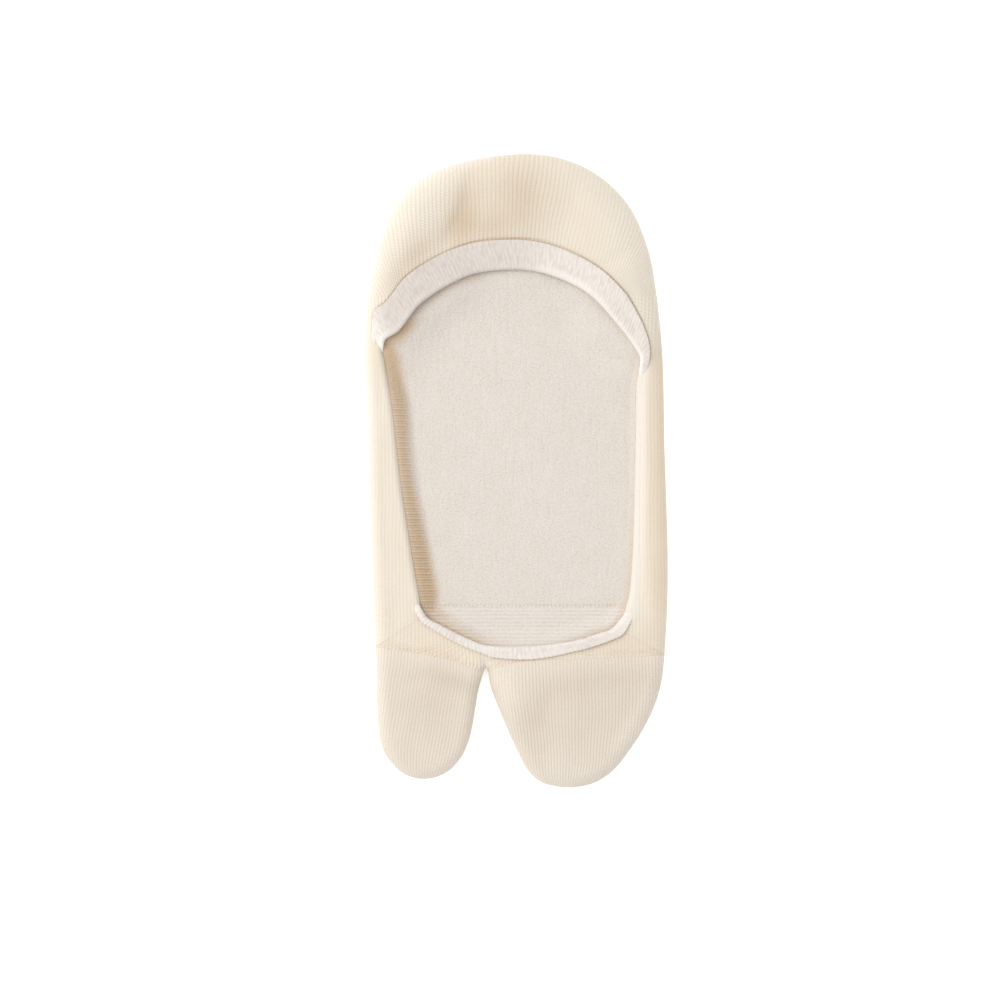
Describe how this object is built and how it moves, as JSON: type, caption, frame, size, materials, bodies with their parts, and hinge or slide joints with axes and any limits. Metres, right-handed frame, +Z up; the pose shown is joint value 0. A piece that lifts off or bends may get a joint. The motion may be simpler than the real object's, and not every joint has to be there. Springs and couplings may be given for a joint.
{
  "type": "tabi sock",
  "caption": "No-show split-toe sock lying flat, with a heel cup, a wide low-cut mouth and its elastic edge turned out.",
  "frame": {"origin": "centre of the footprint, on the surface that the sock lies on", "axes": "+Y towards the heel, -Y towards the toes, -X towards the big toe, +Z up out of the mouth"},
  "size_m": [0.0957, 0.2001, 0.0106],
  "materials": {
    "foot_knit": "cream cotton plain knit outside, terry sole inside",
    "toe_knit": "cream cotton plain knit with fine upright wales",
    "welt_knit": "paler, slightly brushed inner face of an elastic welt"
  },
  "bodies": {
    "root": {"foot_body": "foot_knit", "big_toe_pocket": "toe_knit", "four_toe_pocket": "toe_knit", "heel_welt": "welt_knit", "front_welt": "welt_knit"}
  },
  "joints": []
}
